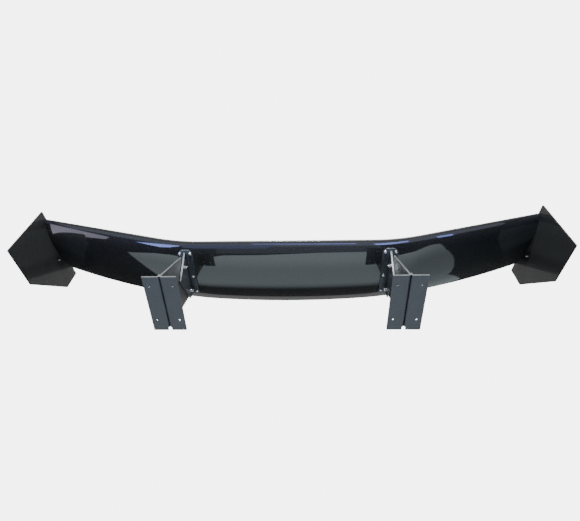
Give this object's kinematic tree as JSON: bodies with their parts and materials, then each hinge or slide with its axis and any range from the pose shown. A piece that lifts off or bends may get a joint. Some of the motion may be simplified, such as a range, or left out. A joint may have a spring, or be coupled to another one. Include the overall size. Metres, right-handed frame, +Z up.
{
  "type": "racing rear wing",
  "caption": "Wide carbon-fibre rear wing with swept outer panels, cut-corner end plates and two bent-plate stands; its angle of attack adjusts about the rear bolts.",
  "frame": {"origin": "under the middle of the bounding box, at the underside of the feet", "axes": "+X to the car's right, +Y rearward, +Z up"},
  "size_m": [1.7066, 0.3538, 0.3525],
  "materials": {
    "carbon_clear_coat": "twill-weave carbon under a gloss clear coat",
    "carbon_bare": "uncoated carbon laminate",
    "rib_foam": "rigid structural foam",
    "block_aluminium": "machined",
    "insert_brass": "turned",
    "painted_plate": "satin slate-grey coated aluminium plate",
    "spacer_nylon": "black nylon",
    "stainless": "bright stainless steel"
  },
  "bodies": {
    "stand": {"left_clamp_bolts": "stainless", "left_clamp_nuts": "stainless", "left_clamp_washers": "stainless", "left_outer_foot": "painted_plate", "left_pivot_bolt": "stainless", "left_pivot_nut": "stainless", "left_pivot_spacer": "spacer_nylon", "left_pivot_washers": "stainless", "left_upright": "painted_plate", "right_clamp_bolts": "stainless", "right_clamp_nuts": "stainless", "right_clamp_washers": "stainless", "right_outer_foot": "painted_plate", "right_pivot_bolt": "stainless", "right_pivot_nut": "stainless", "right_pivot_spacer": "spacer_nylon", "right_pivot_washers": "stainless", "right_upright": "painted_plate"},
    "wing": {"front_spar": "carbon_bare", "left_bracket_screws": "stainless", "left_end_plate": "carbon_clear_coat", "left_end_plate_screws": "stainless", "left_lock_bolt": "stainless", "left_lock_nut": "stainless", "left_lock_spacer": "spacer_nylon", "left_lock_washers": "stainless", "left_lower_plate_nut": "stainless", "left_lower_plate_screw": "stainless", "left_mounting_blocks": "block_aluminium", "left_mounting_inserts": "insert_brass", "left_tip_rib": "rib_foam", "left_tip_rib_inserts": "insert_brass", "left_wing_bracket": "painted_plate", "lower_skin": "carbon_clear_coat", "rear_spar": "carbon_bare", "right_bracket_screws": "stainless", "right_end_plate": "carbon_clear_coat", "right_end_plate_screws": "stainless", "right_lock_bolt": "stainless", "right_lock_nut": "stainless", "right_lock_spacer": "spacer_nylon", "right_lock_washers": "stainless", "right_lower_plate_nut": "stainless", "right_lower_plate_screw": "stainless", "right_mounting_blocks": "block_aluminium", "right_mounting_inserts": "insert_brass", "right_tip_rib": "rib_foam", "right_tip_rib_inserts": "insert_brass", "right_wing_bracket": "painted_plate", "upper_skin": "carbon_clear_coat"}
  },
  "joints": [
    {"name": "wing_angle", "type": "hinge", "parent": "stand", "child": "wing", "pos_m": [0, 0.1015, 0.212], "axis": [1, 0, 0], "range_deg": [0, 7]}
  ]
}
